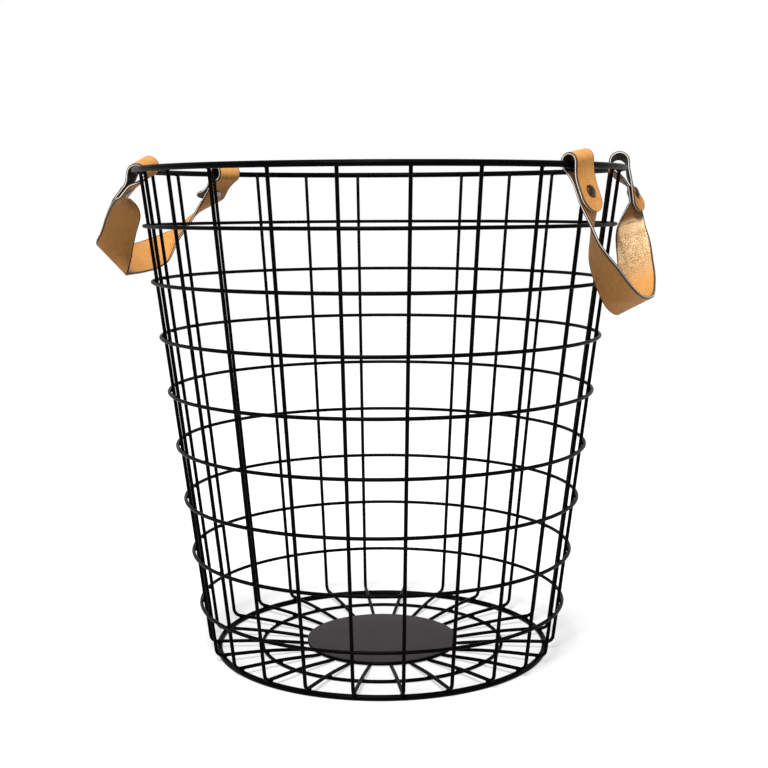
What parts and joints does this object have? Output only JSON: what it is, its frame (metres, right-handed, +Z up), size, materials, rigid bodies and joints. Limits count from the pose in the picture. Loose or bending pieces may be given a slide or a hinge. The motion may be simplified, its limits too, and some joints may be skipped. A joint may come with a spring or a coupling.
{
  "type": "storage basket",
  "caption": "Round tapered storage basket of black welded wire on a wire base with a flat steel disc, with leather strap handles looped round the rim and riveted.",
  "frame": {"origin": "centre of the base disc's top face, the floor of the inside", "axes": "+Z up along the basket axis, +X towards the middle of the right-hand handle, -X towards the left-hand one"},
  "size_m": [0.4973, 0.4048, 0.4152],
  "materials": {
    "black_coat": "satin black powder coat",
    "grey_coat": "matt dark grey powder coat",
    "leather": "tan grained leather with dark painted edges",
    "bronze": "antique dark bronze",
    "grey_metal": "plain grey metal"
  },
  "bodies": {
    "basket": {"rim_ring": "black_coat", "hoop_1": "black_coat", "hoop_2": "black_coat", "hoop_3": "black_coat", "hoop_4": "black_coat", "hoop_5": "black_coat", "hoop_6": "black_coat", "hoop_7": "black_coat", "hoop_8": "black_coat", "base_ring": "black_coat", "base_mid_ring": "black_coat", "base_inner_ring": "black_coat", "upright_01": "black_coat", "upright_02": "black_coat", "upright_03": "black_coat", "upright_04": "black_coat", "upright_05": "black_coat", "upright_06": "black_coat", "upright_07": "black_coat", "upright_08": "black_coat", "upright_09": "black_coat", "upright_10": "black_coat", "upright_11": "black_coat", "upright_12": "black_coat", "upright_13": "black_coat", "upright_14": "black_coat", "upright_15": "black_coat", "upright_16": "black_coat", "upright_17": "black_coat", "upright_18": "black_coat", "upright_19": "black_coat", "upright_20": "black_coat", "upright_21": "black_coat", "upright_22": "black_coat", "upright_23": "black_coat", "upright_24": "black_coat", "base_disc": "grey_coat"},
    "right_handle": {"strap_right": "leather"},
    "right_loop_a": {"strap_right_loop_a": "leather", "rivet_right_a": "bronze", "rivet_cap_right_a": "grey_metal"},
    "right_loop_b": {"strap_right_loop_b": "leather", "rivet_right_b": "bronze", "rivet_cap_right_b": "grey_metal"},
    "left_handle": {"strap_left": "leather"},
    "left_loop_a": {"strap_left_loop_a": "leather", "rivet_left_a": "bronze", "rivet_cap_left_a": "grey_metal"},
    "left_loop_b": {"strap_left_loop_b": "leather", "rivet_left_b": "bronze", "rivet_cap_left_b": "grey_metal"}
  },
  "joints": [
    {"name": "right_handle_swing", "type": "hinge", "parent": "basket", "child": "right_handle", "pos_m": [0.18794, 0, 0.4], "axis": [0, -1, 0], "range_deg": [0, 165]},
    {"name": "right_loop_a_flex", "type": "hinge", "parent": "right_handle", "child": "right_loop_a", "pos_m": [0.18794, -0.0684, 0.4], "axis": [-0.1305, 0, 0.9914], "range_deg": [-0.4, 40.1]},
    {"name": "right_loop_b_flex", "type": "hinge", "parent": "right_handle", "child": "right_loop_b", "pos_m": [0.18794, 0.0684, 0.4], "axis": [-0.1305, 0, 0.9914], "range_deg": [-40.1, 0.4]},
    {"name": "left_handle_swing", "type": "hinge", "parent": "basket", "child": "left_handle", "pos_m": [-0.18794, 0, 0.4], "axis": [0, 1, 0], "range_deg": [-22, 145]},
    {"name": "left_loop_a_flex", "type": "hinge", "parent": "left_handle", "child": "left_loop_a", "pos_m": [-0.18794, 0.0684, 0.4], "axis": [0.3007, 0, 0.9537], "range_deg": [-6.2, 38.7]},
    {"name": "left_loop_b_flex", "type": "hinge", "parent": "left_handle", "child": "left_loop_b", "pos_m": [-0.18794, -0.0684, 0.4], "axis": [0.3007, 0, 0.9537], "range_deg": [-38.7, 6.2]}
  ],
  "couplings": [
    {"joint": "right_loop_a_flex", "follows": "right_handle_swing", "ratio": 0.2405},
    {"joint": "right_loop_b_flex", "follows": "right_handle_swing", "ratio": -0.2405},
    {"joint": "left_loop_a_flex", "follows": "left_handle_swing", "ratio": 0.264},
    {"joint": "left_loop_b_flex", "follows": "left_handle_swing", "ratio": -0.264}
  ]
}
